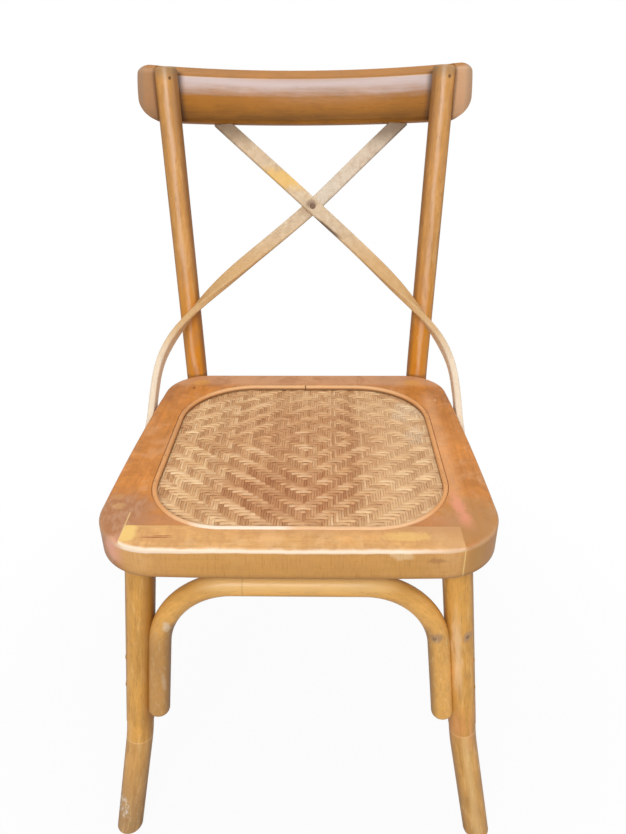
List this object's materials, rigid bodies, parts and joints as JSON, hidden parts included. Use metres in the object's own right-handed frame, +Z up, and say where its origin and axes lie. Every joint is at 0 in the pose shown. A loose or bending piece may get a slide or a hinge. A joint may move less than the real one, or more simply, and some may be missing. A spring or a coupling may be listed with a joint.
{
  "type": "cross back dining chair",
  "caption": "Wooden dining chair with a bowed top rail, crossed bentwood straps, a framed woven rattan seat and arched braces between splayed legs.",
  "frame": {"origin": "on the floor under the middle of the chair's bounding box", "axes": "+Z up, -Y the way a sitter faces, +X to the right as seen from the front; symmetric about X = 0"},
  "size_m": [0.4882, 0.5968, 0.8837],
  "materials": {
    "rail_wood": "honey brown lacquered beech, worn",
    "post_wood": "golden brown lacquered beech",
    "strap_wood": "paler bent beech, lacquered",
    "side_board_wood": "orange brown lacquered beech",
    "front_board_wood": "light honey lacquered beech",
    "bead_wood": "pale bent beech bead",
    "rattan": "woven rattan strands",
    "plywood": "dark stained plywood",
    "leg_wood": "golden lacquered beech, feet duller",
    "arch_wood": "golden lacquered bent rod",
    "dowel_wood": "bare beech",
    "plug_wood": "lacquered plug",
    "steel": "zinc plated",
    "glide_plastic": "dark nylon"
  },
  "bodies": {
    "root": {"arch_to_leg_screws": "steel", "backing_screws": "steel", "cross_screw": "steel", "cross_strap_front": "strap_wood", "cross_strap_rear": "strap_wood", "foot_glides": "glide_plastic", "front_arch_dowel": "dowel_wood", "front_arch_left": "arch_wood", "front_arch_right": "arch_wood", "front_leg_foot_left": "leg_wood", "front_leg_foot_right": "leg_wood", "front_leg_left": "leg_wood", "front_leg_right": "leg_wood", "front_leg_splice_dowels": "dowel_wood", "leg_to_arch_screws": "steel", "post_bolts": "steel", "post_plugs": "plug_wood", "rail_plugs": "plug_wood", "rail_screws": "steel", "rattan_seat_panel": "rattan", "rear_arch": "arch_wood", "rear_post_left": "post_wood", "rear_post_right": "post_wood", "seat_backing_board": "plywood", "seat_bead": "bead_wood", "seat_corner_dowels": "dowel_wood", "seat_front_rail": "front_board_wood", "seat_rear_rail": "front_board_wood", "seat_side_rail_left": "side_board_wood", "seat_side_rail_right": "side_board_wood", "side_arch_left": "arch_wood", "side_arch_right": "arch_wood", "strap_end_screws": "steel", "top_rail": "rail_wood"}
  },
  "joints": []
}
